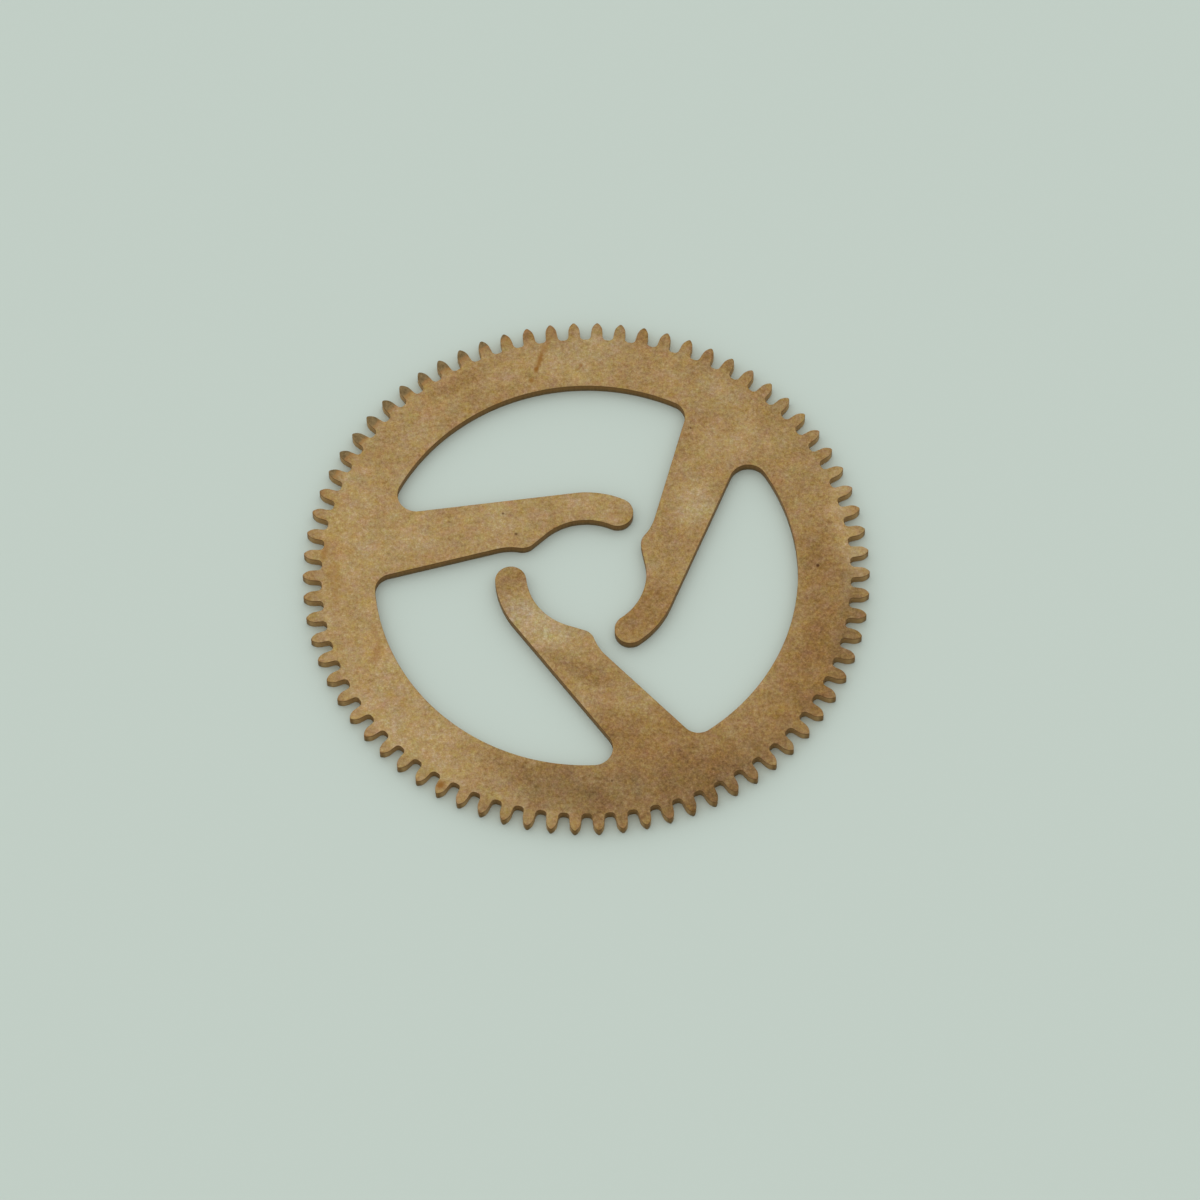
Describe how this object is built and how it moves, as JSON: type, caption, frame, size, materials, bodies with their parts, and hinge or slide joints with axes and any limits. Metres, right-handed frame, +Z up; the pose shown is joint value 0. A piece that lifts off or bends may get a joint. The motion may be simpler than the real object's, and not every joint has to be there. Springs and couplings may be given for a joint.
{
  "type": "watch driving wheel",
  "caption": "Thin flat toothed wheel whose three sprung inner arms clip onto a round seat and drive as a slipping clutch.",
  "frame": {"origin": "on the wheel's axis, at the underside of the sheet", "axes": "+Z up along the wheel's axis, through the sheet; +X to the right and +Y away from the viewer in the picture, so that spring_arm_1 comes in from the left"},
  "size_m": [0.0092, 0.0092, 0.0002],
  "materials": {
    "bronze": "tarnished satin"
  },
  "bodies": {
    "rim": {"toothed_rim": "bronze"},
    "arm_1": {"spring_arm_1": "bronze"},
    "arm_2": {"spring_arm_2": "bronze"},
    "arm_3": {"spring_arm_3": "bronze"}
  },
  "joints": [
    {"name": "arm_1_bend", "type": "hinge", "parent": "rim", "child": "arm_1", "pos_m": [-0.00254, 0.00072, 0.00009], "axis": [0, 0, 1], "range_deg": [0, 1.3], "stiffness_Nm_per_rad": 1},
    {"name": "arm_2_bend", "type": "hinge", "parent": "rim", "child": "arm_2", "pos_m": [0.00065, -0.00256, 0.00009], "axis": [0, 0, 1], "range_deg": [0, 1.3], "stiffness_Nm_per_rad": 1},
    {"name": "arm_3_bend", "type": "hinge", "parent": "rim", "child": "arm_3", "pos_m": [0.00189, 0.00184, 0.00009], "axis": [0, 0, 1], "range_deg": [0, 1.3], "stiffness_Nm_per_rad": 1}
  ]
}
